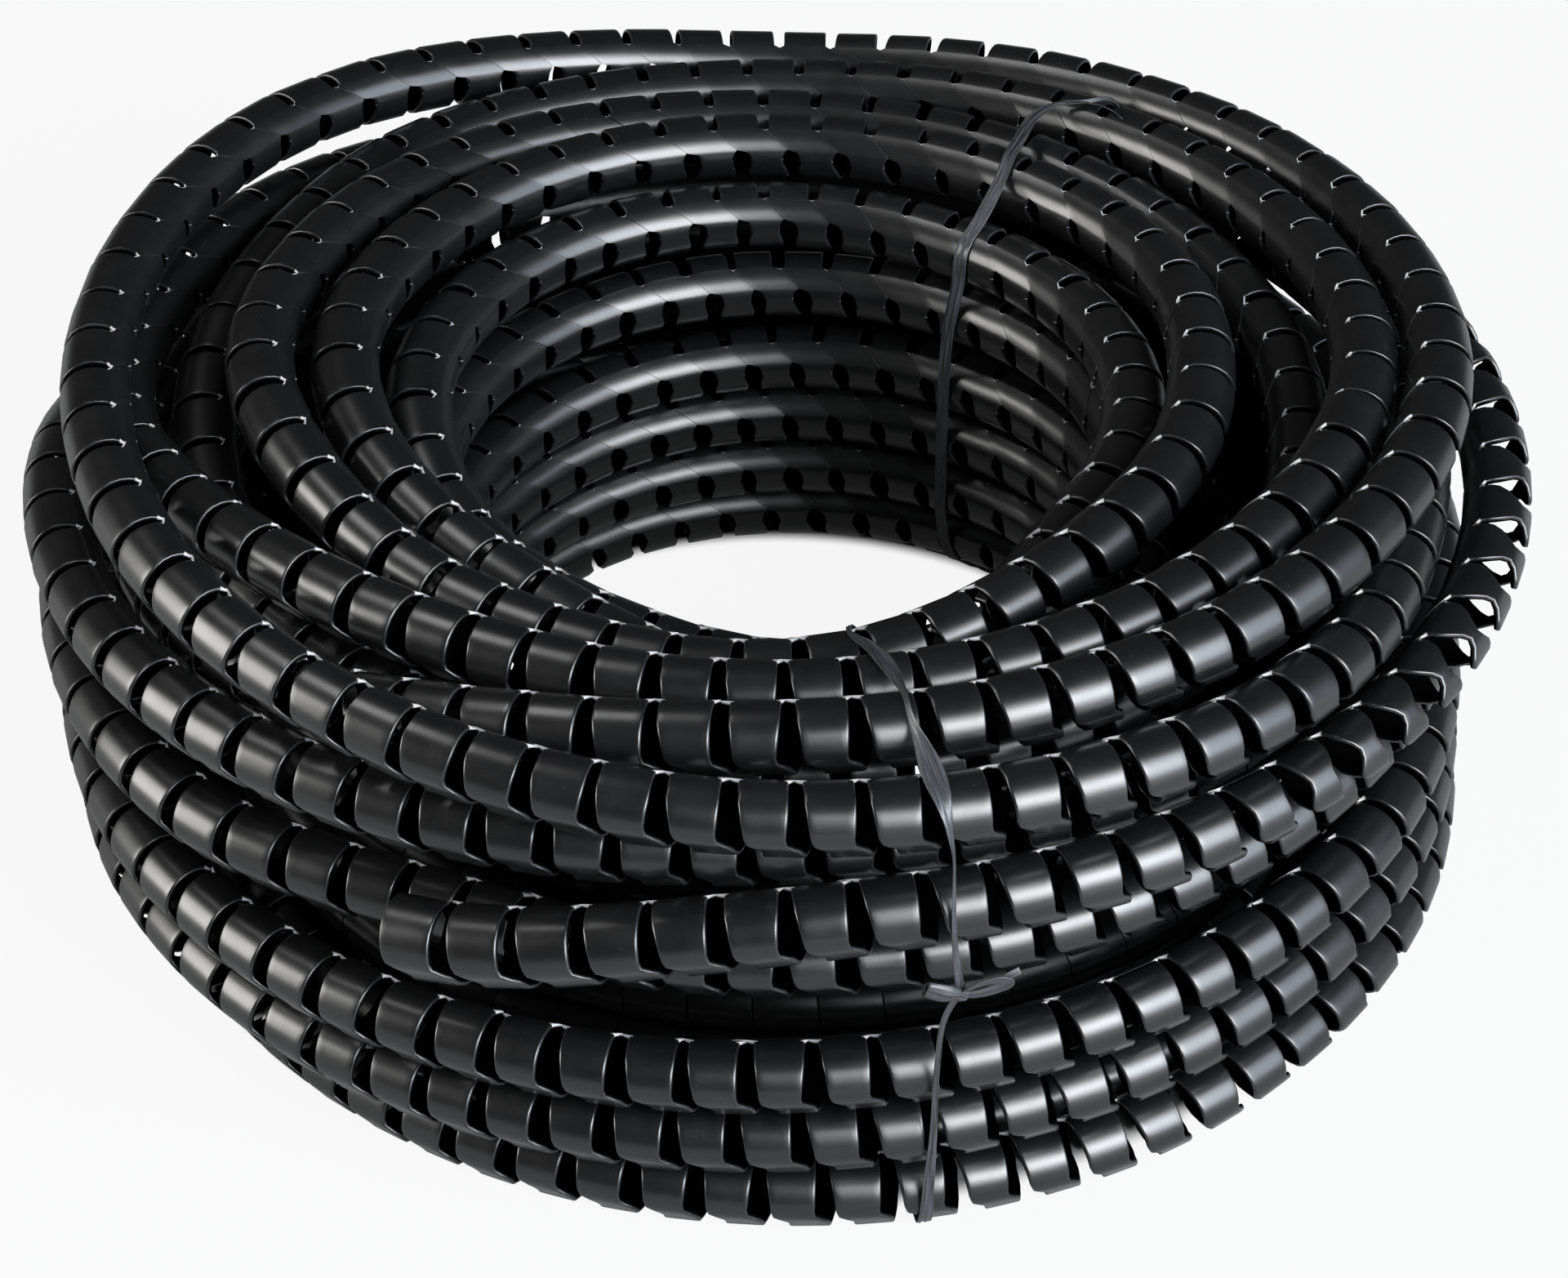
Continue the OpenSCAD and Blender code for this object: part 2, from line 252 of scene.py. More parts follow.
# A grid folded into a closed tube: its columns run along the piece, its rows round the section
def foldTube(name, columns, rows, shape):
    bm = bmesh.new()
    bmesh.ops.create_grid(bm, x_segments=columns - 1, y_segments=rows, size=1)
    mesh = bpy.data.meshes.new(name)
    bm.to_mesh(mesh)
    bm.free()
    flat = np.empty(len(mesh.vertices) * 3)
    mesh.vertices.foreach_get("co", flat)
    flat = flat.reshape(-1, 3)
    column = np.rint((flat[:, 0] + 1) / 2 * (columns - 1)).astype(int)
    row = np.rint((flat[:, 1] + 1) / 2 * rows).astype(int) % rows
    place, marks = shape(column, row)
    mesh.vertices.foreach_set("co", place.ravel())
    for key, values in marks.items():
        mesh.attributes.new(key, "FLOAT", "POINT").data.foreach_set("value", values)
    bm = bmesh.new()
    bm.from_mesh(mesh)
    bmesh.ops.remove_doubles(bm, verts=bm.verts, dist=1e-6)
    bmesh.ops.holes_fill(bm, edges=[edge for edge in bm.edges if edge.is_boundary], sides=0)
    bmesh.ops.recalc_face_normals(bm, faces=bm.faces)
    bm.to_mesh(mesh)
    bm.free()
    mesh.shade_smooth()
    obj = bpy.data.objects.new(name, mesh)
    bpy.context.scene.collection.objects.link(obj)
    obj.modifiers.new("evenNormals", "WEIGHTED_NORMAL")  # the small roundings leave the broad faces alone
    return obj


# The strip's section, corner by corner: its side, how far in from it in mm and as a share of the
# rounding, and how deep in mm and as a share of the rounding
deepest = sleeve["thickness"]
stripSection = [
    (-1, 2.2, 0, 0, 0), (1, 2.2, 0, 0, 0), (1, 0, 1, 0, 0), (1, 0, 0.5, 0, 0.13), (1, 0, 0.13, 0, 0.5),
    (1, 0, 0, 0, 1), (1, 0, 0, deepest - 0.3, 0), (1, 0.3, 0, deepest, 0), (-1, 0.3, 0, deepest, 0),
    (-1, 0, 0, deepest - 0.3, 0), (-1, 0, 0, 0, 1), (-1, 0, 0.13, 0, 0.5), (-1, 0, 0.5, 0, 0.13),
    (-1, 0, 1, 0, 0),
]
plainSection = [(-1, 0, 0, 0, 0), (1, 0, 0, 0, 0), (1, 0, 0, deepest, 0), (-1, 0, 0, deepest, 0)]


# How far the gaps stand open, as a share of their usual width
def openedAt(angle, section):
    share = 1 - sleeve["sideClosing"] * np.abs(np.cos(np.radians(angle))) ** 5
    loose = sum(np.exp(-((section - place) / reach) ** 2) for place, reach in sleeve["looseAt"])
    return share * (1 + (fromTable(sleeve["looseness"], angle) - 1) * loose)


# One stretch of the strip, from one whole wrap to another
def windStrip(name, firstWrap, lastWrap, fine=True):
    rings = np.array(sleeve["rings"] if fine else sleeve["rings"][::3], float)
    wraps = np.append(np.repeat(np.arange(firstWrap, lastWrap), len(rings)), lastWrap)
    section = np.append(np.tile(rings, lastWrap - firstWrap), rings[0])
    wound = wraps + (rings[0] - section) / 360
    start = np.interp(wraps, line["count"], line["length"])
    pitch = np.interp(wraps + 1, line["count"], line["length"]) - start
    angle = np.interp(start, line["length"], line["angle"])
    opened = openedAt(angle, section) * (1 + sleeve["gapSpread"] * unevenAt(wound, "gap"))
    gap = fromTable(sleeve["gaps"], section) * (opened if fine else sleeve["hiddenGaps"]) * mm
    freedom = np.clip(gap / (sleeve["freeGap"] * mm), 0, 1) * mm
    middle = start + pitch * fromTable(sleeve["advance"], section) / sleeve["pitch"]
    sway = np.cos(np.radians(section) + unevenAt(wound, "phase"))
    middle += (unevenAt(wound, "shift") * sleeve["shift"] + sway * sleeve["sway"]) * freedom
    width = pitch - gap
    fromMouth = np.clip(middle / mm, 0, sleeve["flareLength"])
    size = sleeve["radius"] + sleeve["flare"] * (1 - fromMouth / sleeve["flareLength"]) ** 2
    size = (size + unevenAt(wound, "swell") * sleeve["swell"]) * fromTable(sleeve["pressed"], section) * mm
    lean = unevenAt(wound, "lean") * sleeve["lean"]
    tight, wide = sleeve["tightRounding"] * mm, sleeve["rounding"] * mm
    rounding = np.clip(gap / sleeve["gapPerRounding"], tight, wide)
    # painted glint: size of the pale spot at each gap's upper end, by direction round the coil, and only
    # where the gap stands open
    spot = fromTable(sleeve["spots"], angle % 360) * np.minimum(opened, 1)
    fromGapEnd = (section + 180) % 360 - 180 - sleeve["gapEnd"]
    toGapEnd = np.clip(fromGapEnd, -40, 40) * math.radians(sleeve["radius"]) * mm  # past that it is far
    # painted shade: the hidden turns are darkened towards near black
    paintedShadeHidden = 0 if fine else sleeve["hiddenPaintedShade"]
    side, inset, insetShare, depth, depthShare = np.array(stripSection if fine else plainSection).T

    def shape(column, row):
        across = side[row] * (width[column] / 2 - inset[row] * mm - insetShare[row] * rounding[column])
        deep = depth[row] * mm + depthShare[row] * rounding[column]
        length = middle[column] + across
        arm = size[column] - deep + across * lean[column]
        turn = np.radians(section[column])
        place = alongLine("place", length)
        place += alongLine("outward", length) * (arm * np.cos(turn))[:, None]
        place += alongLine("up", length) * (arm * np.sin(turn))[:, None]
        place[:, 2] = np.maximum(place[:, 2], deep + 0.02 * mm)  # pressed flat on the floor
        return place, {
            "along": wound[column] * 2 * math.pi * sleeve["radius"] * mm,
            "across": across,
            "half": width[column] / 2,
            # painted shade: near black on the strip's inner face and on the hidden turns
            "inside": np.clip(deep / mm - 1, 0, 0.5) * 2 + paintedShadeHidden,
            "spot": spot[column],
            "toGapEnd": toGapEnd[column],
        }

    # the stretch, and where it starts and ends along the centre line
    return foldTube(name, len(section), len(side), shape), middle[0] - width[0] / 4, middle[-1]


# The stretches of the sleeve, from the mouth inwards, by the angle where each starts. Only the hidden
# turns are left plain
stretches = [
    {"name": "freeEnd", "from": -117, "replaces": ["sleeve_free_end"], "fine": True},
    {"name": "topTurnsOuter", "from": -54.7, "replaces": ["sleeve_turns"], "fine": True},
    {"name": "topTurnsInner", "from": 1275, "replaces": [], "fine": True},
    {"name": "innerWallTurns", "from": 2700, "replaces": [], "fine": True},
    {"name": "baseTurns", "from": 4260, "replaces": [], "fine": True},
    {"name": "outerWallTurns", "from": 5340, "replaces": [], "fine": True},
    {"name": "outerUpperTurns", "from": 6060, "replaces": [], "fine": True},
    {"name": "hiddenTurns", "from": 6790, "replaces": ["sleeve_inner_turns"], "fine": False},
]


def makeSleeve():
    starts = [0] + [round(float(countAt(part["from"]))) for part in stretches[1:]]
    starts.append(math.floor(line["count"][-1]) - 2)
    pieces = []
    for part, first, last in zip(stretches, starts[:-1], starts[1:]):
        obj, near, far = windStrip(part["name"], first, last, part["fine"])
        path = alongLine("place", np.linspace(near, far, int((far - near) / (8 * mm))))
        if part is stretches[0]:
            path = path[::-1]  # it leaves the coil, and ends at the mouth
        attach(obj, "root")
        if part["replaces"]:
            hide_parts(*part["replaces"])
        pieces.append(obj)
    return pieces


sleevePieces = makeSleeve()

# A tie is a strip of film pulled tight round the bundle of turns. Its rows give, by the distance wound
# up from its outermost point: direction, width, turn about its own length, and lift off the turns
frontTie = {
    "at": -79,          # direction of the plane it lies in
    "skips": 0,         # turns that it leaves out
    "margin": 10.7,     # from their centre lines
    "thickness": 0.3,
    "pleats": 0.3,
    "columns": 420,     # of its grid, along it
    "rows": [
        (0, -78.3, 1.6, -30, 0.1), (12, -78.3, 1.7, -50, 0.3), (24, -78.3, 1.9, -62, 0.5),
        (34, -78.7, 2.6, -40, 0.6), (40, -78.9, 5.0, -8, 0.4), (47, -79.1, 6.6, 4, 0.3),
        (54, -79.3, 5.4, 10, 0.3), (60, -79.6, 3.2, 30, 0.4), (66, -79.9, 1.9, 55, 0.5),
        (77, -79.9, 2.1, 60, 0.6), (85, -80.1, 4.0, 14, 0.4), (94, -80.6, 4.8, 5, 0.3),
        (106, -81.5, 3.2, 20, 0.2), (113, -82.6, 1.6, 40, -0.2), (120, -82.6, 1.5, 20, -0.9),
        (150, -80, 3, 0, -0.4), (400, -79, 4, 0, 0), (437, -78.8, 2.0, 10, 0), (457, -78.9, 1.6, 25, 0.1),
        (476, -78.8, 1.5, 30, 0.2), (484, -78.6, 1.6, 20, 0.4), (490, -78.0, 2.2, 0, 0.8),
        (494, -77.6, 2.6, 0, 0.9), (499, -77.8, 2.3, -10, 0.6), (515, -78.3, 1.6, -30, 0.1),
    ],
}
backTie = {
    "at": 56,
    "skips": 2,
    "margin": 10.7,
    "thickness": 0.3,
    "pleats": 0.5,
    "columns": 420,
    "rows": [
        (0, 56, 4, 0, 0), (110, 55, 3, 0, 0), (140, 54.6, 1.6, 40, 0), (152, 55.7, 1.4, 40, 0.2),
        (156, 57.5, 1.5, 30, 0.3), (160, 58.8, 1.9, 20, 0.5), (166, 59.3, 2.8, 10, 0.5),
        (173, 59.4, 4.2, 0, 0.4), (191, 57.7, 4.3, 0, 0.3), (204, 56.4, 4.0, 0, 0.4),
        (216, 55.8, 4.4, 8, 0.4), (224, 55.7, 3.8, 20, 0.3), (229, 56, 4.4, 0, 0.2),
        (242, 55.8, 4.4, 0, 0.1), (257, 57.1, 4.2, 0, 0.1), (273, 58, 4, 0, 0.1), (295, 58.4, 4.2, 0, 0.1),
        (321, 58.6, 4, 0, 0.1), (344, 59.3, 4, 0, 0), (370, 57, 4, 0, 0), (472, 56, 4, 0, 0),
    ],
}


# Where the turns of the sleeve pass the direction of a tie, as radius and height
def turnsAt(direction, skips):
    first = math.ceil((coil["route"][0][0] - direction) / 360) + skips
    last = math.floor((coil["route"][-1][0] - direction) / 360)
    angles = direction + 360 * np.arange(first, last + 1)
    return np.stack([np.interp(angles, line["angle"], line[key]) for key in ("radius", "height")], 1)


# The tight outline round those turns, from its outermost point up and over
def outlineRound(tie):
    turn = np.radians(np.arange(0, 361, 2))
    ways = np.stack([np.cos(turn), np.sin(turn)], 1)
    spots = turnsAt(tie["at"], tie["skips"])
    outline = spots[np.argmax(ways @ spots.T, axis=1)] + ways * tie["margin"] * mm
    outline[:, 1] = np.maximum(outline[:, 1], 0.5 * mm)
    steps = np.linalg.norm(np.diff(outline, axis=0), axis=1)
    return np.concatenate([[0], np.cumsum(steps)]), outline


# Film along a path: facing and aside are its face's and its width's directions, before it is turned.
# Its pleats wander nine times round a closed strip, and once in some 70 mm of an open one
def sweepFilm(name, path, facing, aside, width, turn, thickness, pleats, closed=False):
    oneFace = np.array([-1, -0.85, -0.5, -0.15, 0.2, 0.6, 0.9, 1])
    share = np.concatenate([oneFace, oneFace[::-1]])
    skin = np.repeat([1, -1], len(oneFace))
    spin = np.radians(turn)[:, None]
    across = aside * np.cos(spin) + facing * np.sin(spin)
    normal = facing * np.cos(spin) - aside * np.sin(spin)
    steps = np.linalg.norm(np.diff(path, axis=0), axis=1)
    gone = np.concatenate([[0], np.cumsum(steps)])
    phase = np.where(closed, gone / gone[-1] * 2 * math.pi * 9, gone / (11 * mm))

    def shape(column, row):
        u = share[row]
        crease = np.sin(u * 7 + np.sin(phase[column]) * 2.5) * pleats * mm * (1 - u ** 2)
        off = crease * np.clip(width[column] / (4 * mm), 0.2, 1) + skin[row] * thickness / 2 * mm
        sideways = u * width[column] / 2
        place = path[column] + across[column] * sideways[:, None] + normal[column] * off[:, None]
        return place, {"along": gone[column], "across": sideways}

    return foldTube(name, len(path), len(share), shape)


# A whole tie, its rows smoothed over seven columns and its two ends made one
def makeTie(name, tie, node):
    distance, outline = outlineRound(tie)
    rows = np.array(tie["rows"], float)
    at = np.linspace(0, distance[-1], tie["columns"])
    evenly = np.ones(7) / 7
    settings = []
    for k in (1, 2, 3, 4):
        values = np.interp(at / mm, rows[:, 0], rows[:, k])
        settings.append(np.convolve(np.concatenate([values[-4:-1], values, values[1:4]]), evenly, "valid"))
    direction, width, turn, lift = settings
    radius = np.interp(at, distance, outline[:, 0])
    height = np.interp(at, distance, outline[:, 1])
    ahead = np.stack([np.gradient(radius, at), np.gradient(height, at)], 1)
    ahead[0] = ahead[-1] = (ahead[0] + ahead[-1]) / 2
    ahead /= np.linalg.norm(ahead, axis=1)[:, None]
    radius += ahead[:, 1] * lift * mm
    height -= ahead[:, 0] * lift * mm
    turnRound = np.radians(direction)
    outward = np.stack([np.cos(turnRound), np.sin(turnRound), 0 * turnRound], 1)
    path = outward * radius[:, None]
    path[:, 2] = height
    path[:, :2] += np.array(coil["centre"]) * mm
    path[-1] = path[0]
    aside = np.stack([-np.sin(turnRound), np.cos(turnRound), 0 * turnRound], 1)
    facing = outward * ahead[:, 1:2]
    facing[:, 2] = -ahead[:, 0]
    aside[-1], facing[-1], width[-1], turn[-1] = aside[0], facing[0], width[0], turn[0]
    obj = sweepFilm(name, path, facing, aside, width * mm, turn, tie["thickness"], tie["pleats"], True)
    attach(obj, "root")
    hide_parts(node)
    return obj


# The knot's pieces, by millimetres to the right, outwards and up from the middle of the knot
knot = {
    "direction": -77.6,
    "radius": 213.9,
    "height": 95.4,
    "thickness": 0.35,
    "wrapThickness": 0.4,
    "wraps": [
        {"tilt": 34, "size": (2.0, 1.7), "width": 2.4, "out": 1.0},
        {"tilt": -28, "size": (2.3, 1.9), "width": 1.8, "out": 1.1},
    ],
    "bow": [(-0.5, 0.8, -0.8, 1.6), (3, 1.5, -1.0, 2.2), (6, 1.9, -0.4, 2.8), (9.5, 2.4, 1.0, 3.2),
            (12, 3.2, 2.6, 3.4), (12.6, 3.9, 3.9, 3.0), (10, 3.9, 5.0, 3.0), (6.4, 3.4, 4.7, 2.8),
            (3, 2.8, 2.9, 2.4), (0.4, 2.1, 0.8, 1.8)],
    "bowEnd": [(10.5, 2.6, 3.4, 2.4), (13, 2.2, 4.6, 2.2), (15.8, 1.7, 5.4, 1.9)],
    "tail": [(0.2, 1.6, 0.1, 1.4), (-1.8, 2.2, 0.7, 2.2), (-4, 2.7, 1.6, 2.7), (-7, 2.8, 3.0, 2.6),
             (-9.8, 2.5, 4.4, 2.3)],
}


def knotFrame():
    turn = math.radians(knot["direction"])
    out = np.array([math.cos(turn), math.sin(turn), 0])
    right = np.array([-math.sin(turn), math.cos(turn), 0])
    middle = out * knot["radius"] * mm + np.array([0, 0, knot["height"] * mm])
    middle[:2] += np.array(coil["centre"]) * mm
    return middle, np.array([right, out, [0, 0, 1]])


# A smooth line through a few rows of place and width
def throughRows(rows, count):
    rows = np.array(rows, float)
    at = np.linspace(0, len(rows) - 1, count)
    values = np.stack([np.interp(at, np.arange(len(rows)), rows[:, k]) for k in range(rows.shape[1])], 1)
    for _ in range(count // 6):
        values[1:-1] = (values[:-2] + 2 * values[1:-1] + values[2:]) / 4
    return values


def knotFilm(name, rows, count, pleats=0.12):
    middle, axes = knotFrame()
    values = throughRows(rows, count)
    path = middle + values[:, :3] * mm @ axes
    ahead = np.gradient(path, axis=0)
    ahead /= np.linalg.norm(ahead, axis=1)[:, None]
    facing = np.cross(ahead, np.cross(axes[1], ahead))
    facing /= np.linalg.norm(facing, axis=1)[:, None]
    aside = np.cross(ahead, facing)
    return sweepFilm(name, path, facing, aside, values[:, 3] * mm, np.linspace(0, 25, count),
                     knot["thickness"], pleats)


# A rolled end: outside to its mouth and back in
def makeTail(name):
    middle, axes = knotFrame()
    values = throughRows(knot["tail"], 16)
    mouth = values[-1]
    inner = np.repeat(mouth[None], 3, 0)
    inner[:, :3] += (values[-4, :3] - mouth[:3]) * np.array([0, 0.05, 1])[:, None]
    inner[:, 3] = mouth[3] * np.array([0.8, 0.7, 0.6])
    values = np.concatenate([values, inner])
    path = middle + values[:, :3] * mm @ axes
    ahead = path[15] - path[4]
    ahead /= np.linalg.norm(ahead)
    upright = np.cross(ahead, axes[1])
    sides = 14

    def shape(column, row):
        turn = row / sides * 2 * math.pi
        ripple = 1 + 0.1 * np.sin(3 * turn + column * 0.3)
        size = values[column, 3] * mm * ripple
        place = path[column] + upright * (size * np.sin(turn))[:, None]
        place += axes[1] * (size * 0.62 * np.cos(turn))[:, None]
        return place, {"along": column * 0.6 * mm, "across": turn * 1.5 * mm}

    return foldTube(name, len(values), sides, shape)


def makeKnotWrap(name, wrap):
    middle, axes = knotFrame()
    turn = np.linspace(0, 2 * math.pi, 41)
    tilt = math.radians(wrap["tilt"])
    wide, deep = wrap["size"]
    ring = np.stack([wide * np.cos(turn) * math.cos(tilt), wrap["out"] + deep * np.sin(turn),
                     wide * np.cos(turn) * math.sin(tilt)], 1)
    path = middle + ring * mm @ axes
    hub = middle + np.array([0, wrap["out"], 0]) * mm @ axes
    facing = path - hub
    facing /= np.linalg.norm(facing, axis=1)[:, None]
    ahead = np.gradient(path, axis=0)
    ahead[0] = ahead[-1] = ahead[0] + ahead[-1]
    ahead /= np.linalg.norm(ahead, axis=1)[:, None]
    facing -= ahead * np.sum(facing * ahead, 1)[:, None]
    facing /= np.linalg.norm(facing, axis=1)[:, None]
    path[-1], facing[-1] = path[0], facing[0]
    width = np.full(len(path), wrap["width"] * mm)
    return sweepFilm(name, path, facing, np.cross(ahead, facing), width, 0 * turn,
                     knot["wrapThickness"], 0.1, True)


# The back tie's cut end lies in the valley beside the rim turn. Its rows: direction, radius, height, width
backFold = {
    "rows": [(58.2, 166.5, 157.9, 1.8), (56.5, 169.5, 157.9, 1.6), (54.5, 171.5, 157.6, 1.5),
             (52.8, 171, 157.4, 1.4), (51.3, 169, 157.3, 1.3)],
    "turn": (10, 50),
    "thickness": 0.3,
    "pleats": 0.15,
    "columns": 24,
}


def makeBackFold(name):
    values = throughRows(backFold["rows"], backFold["columns"])
    turn = np.radians(values[:, 0])
    path = np.stack([np.cos(turn) * values[:, 1], np.sin(turn) * values[:, 1], values[:, 2]], 1) * mm
    path[:, :2] += np.array(coil["centre"]) * mm
    ahead = np.gradient(path, axis=0)
    ahead /= np.linalg.norm(ahead, axis=1)[:, None]
    aside = np.cross(ahead, [0, 0, 1])
    aside /= np.linalg.norm(aside, axis=1)[:, None]
    facing = np.cross(aside, ahead)
    turns = np.linspace(*backFold["turn"], backFold["columns"])
    return sweepFilm(name, path, facing, aside, values[:, 3] * mm, turns,
                     backFold["thickness"], backFold["pleats"])


def makeTies():
    pieces = [makeTie("frontTie", frontTie, "tie_front_band"), makeTie("backTie", backTie, "tie_back_band")]
    small = [
        (makeKnotWrap("knotWrap", knot["wraps"][0]), "tie_front_knot"),
        (makeKnotWrap("knotCross", knot["wraps"][1]), None),
        (makeTail("knotTail"), "tie_front_tail"),
        (knotFilm("knotBow", knot["bow"], 48), "tie_front_bow"),
        (knotFilm("knotBowEnd", knot["bowEnd"], 12), None),
        (makeBackFold("backFold"), "tie_back_fold"),
    ]
    for obj, node in small:
        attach(obj, "root")
        if node:
            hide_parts(node)
        pieces.append(obj)
    return pieces


tiePieces = makeTies()
print("ties", len(tiePieces))


# Wraps a socket, so that a pattern can be written as an expression
class Wire:
    def __init__(self, tree, socket):
        self.tree = tree
        self.socket = socket

    def math(self, operation, a, b=None):
        values = {0: a} if b is None else {0: a, 1: b}
        return makeNode(self.tree, "ShaderNodeMath", {"operation": operation}, values)

    def __add__(self, other):
        return self.math("ADD", self, other)

    def __radd__(self, other):
        return self.math("ADD", other, self)

    def __sub__(self, other):
        return self.math("SUBTRACT", self, other)

    def __rsub__(self, other):
        return self.math("SUBTRACT", other, self)

    def __mul__(self, other):
        return self.math("MULTIPLY", self, other)

    def __rmul__(self, other):
        return self.math("MULTIPLY", other, self)

    def __truediv__(self, other):
        return self.math("DIVIDE", self, other)

    def __rtruediv__(self, other):
        return self.math("DIVIDE", other, self)

    def __abs__(self):
        return self.math("ABSOLUTE", self)


# Any node: its type, its settings, then the values or links of its sockets, by name or by number
def makeNode(tree, kind, settings=None, values=None, out=0):
    node = tree.nodes.new(kind)
    for key, setting in (settings or {}).items():
        setattr(node, key, setting)
    for key, value in (values or {}).items():
        if isinstance(value, Wire):
            tree.links.new(value.socket, node.inputs[key])
        else:
            node.inputs[key].default_value = value
    return Wire(tree, node.outputs[out]) if node.outputs else node


def newTree(name):
    material = bpy.data.materials.new(name)
    material.use_nodes = True
    material.node_tree.nodes.clear()
    return material, material.node_tree


def readMark(tree, name):
    return makeNode(tree, "ShaderNodeAttribute", {"attribute_name": name}, out="Fac")


def vector(tree, x, y, z):
    return makeNode(tree, "ShaderNodeCombineXYZ", values={0: x, 1: y, 2: z})


def noise(tree, where, scale, detail=3, roughness=0.5):
    return makeNode(tree, "ShaderNodeTexNoise", values={
        "Vector": where, "Scale": scale, "Detail": detail, "Roughness": roughness}, out="Fac")


# From 0 below one level to 1 above another
def ease(tree, value, low, high):
    return makeNode(tree, "ShaderNodeMapRange", {"interpolation_type": "SMOOTHSTEP"}, {
        "Value": value, "From Min": low, "From Max": high}, out="Result")


# A Mix node's colour sockets share their names with its others, so they go by number
def mixColor(tree, factor, a, b):
    return makeNode(tree, "ShaderNodeMix", {"data_type": "RGBA"}, {0: factor, 6: a, 7: b}, out=2)


# Satin black plastic: drawn lines along the strip, grain, pale edges that are partly wear and partly painted
# highlight, painted glints at the gap ends, and painted shade on the strip's inside and on the hidden turns
blackPlastic = {
    "deep": (0.0026, 0.0026, 0.0029, 1),
    "cloudy": (0.0062, 0.0062, 0.0067, 1),
    # partly wear and partly painted highlight: paler colour along the strip's edges
    "wornAndEdgeHighlight": (0.0120, 0.0120, 0.0130, 1),
    # painted glint: a pale spot at the upper end of each open gap, in place of a highlight
    "paintedGlint": (0.4600, 0.4600, 0.4800, 1),
    "paintedGlintSpan": (1.6, 1.7),  # mm along the sleeve and round it
    "dust": (0.0500, 0.0500, 0.0520, 1),
    # painted shade: the near-black colour of the strip's inside and of the hidden turns
    "inside": (0.0012, 0.0012, 0.0013, 1),
    "wornAndEdgeHighlightReach": 0.45,     # mm in from the strip's edge
    "roughness": 0.31,
    "reflection": 0.62,
    "coat": 0.4,
    "coatRoughness": 0.28,
    # patterns, in waves to the metre: across and along the strip where there are two
    "drawn": (900, 6),
    "dents": (60, 45),
    "clouds": 90,
    "specks": 1500,
    "grain": 2600,
    "relief": {"drawn": 0.12, "grain": 0.2, "dents": 3.0},
    "reliefDepth": 0.00006,
}


def makeBlackPlastic():
    finish = blackPlastic
    material, tree = newTree("blackPlastic")
    along, across, half = (readMark(tree, key) for key in ("along", "across", "half"))
    inside, toGapEnd, spot = (readMark(tree, key) for key in ("inside", "toGapEnd", "spot"))
    position = makeNode(tree, "ShaderNodeTexCoord", out="Object")
    toEdge = half - abs(across)

    def onStrip(scales):
        return vector(tree, across * scales[0], along * scales[1], 0)

    drawn = noise(tree, onStrip(finish["drawn"]), 1.0, 2, 0.6)
    clouds = noise(tree, position, finish["clouds"], 3, 0.6)
    grain = noise(tree, position, finish["grain"], 2, 0.7)
    dents = noise(tree, onStrip(finish["dents"]), 1.0, 1)
    specks = ease(tree, noise(tree, position, finish["specks"], 2), 0.70, 0.76)
    # paler strip edges, patchy: partly wear, partly a painted highlight along the edges
    wornAndEdgeHighlight = ease(tree, toEdge, finish["wornAndEdgeHighlightReach"] * mm, 0.1 * mm) * ease(tree, clouds, 0.35, 0.6)
    # painted glint: a pale spot round each gap's upper end, beside the strip's edge
    wide, high = [at / (size * mm) for at, size in zip((toEdge, toGapEnd), finish["paintedGlintSpan"])]
    paintedGlintMask = ease(tree, (wide * wide + high * high) / spot + (grain - 0.5) * 0.5, 1.0, 0.45)
    color = mixColor(tree, clouds, finish["deep"], finish["cloudy"])
    color = mixColor(tree, specks * 0.6, color, finish["dust"])
    color = mixColor(tree, wornAndEdgeHighlight * 0.8, color, finish["wornAndEdgeHighlight"])
    color = mixColor(tree, paintedGlintMask, color, finish["paintedGlint"])
    rough = finish["roughness"] + (clouds - 0.5) * 0.14 + (drawn - 0.5) * 0.06 + wornAndEdgeHighlight * 0.08 + paintedGlintMask * 0.2
    share = finish["relief"]
    relief = drawn * share["drawn"] + grain * share["grain"] + dents * share["dents"]
    bump = makeNode(tree, "ShaderNodeBump", values={
        "Height": relief, "Distance": finish["reliefDepth"], "Strength": 0.8})
    shine = makeNode(tree, "ShaderNodeBsdfPrincipled", values={
        "Base Color": color, "Roughness": rough, "Specular IOR Level": finish["reflection"],
        "Coat Weight": finish["coat"], "Coat Roughness": finish["coatRoughness"], "Normal": bump})
    # painted shade: the strip's inside and the hidden turns go over to this near-black diffuse
    shade = makeNode(tree, "ShaderNodeBsdfDiffuse", values={"Color": finish["inside"]})
    both = makeNode(tree, "ShaderNodeMixShader", values={0: ease(tree, inside, 0.0, 0.5), 1: shine, 2: shade})
    makeNode(tree, "ShaderNodeOutputMaterial", values={"Surface": both})
    return material


# Film of the ties: paler and rougher in fine strands along it
tieFilm = {
    "deep": (0.0140, 0.0150, 0.0180, 1),
    "thin": (0.0900, 0.0950, 0.1080, 1),
    "roughness": 0.30,
    "reflection": 0.55,
    "strands": (2600, 45),  # waves to the metre, across and along
    "clouds": 260,
    "reliefDepth": 0.00012,
}


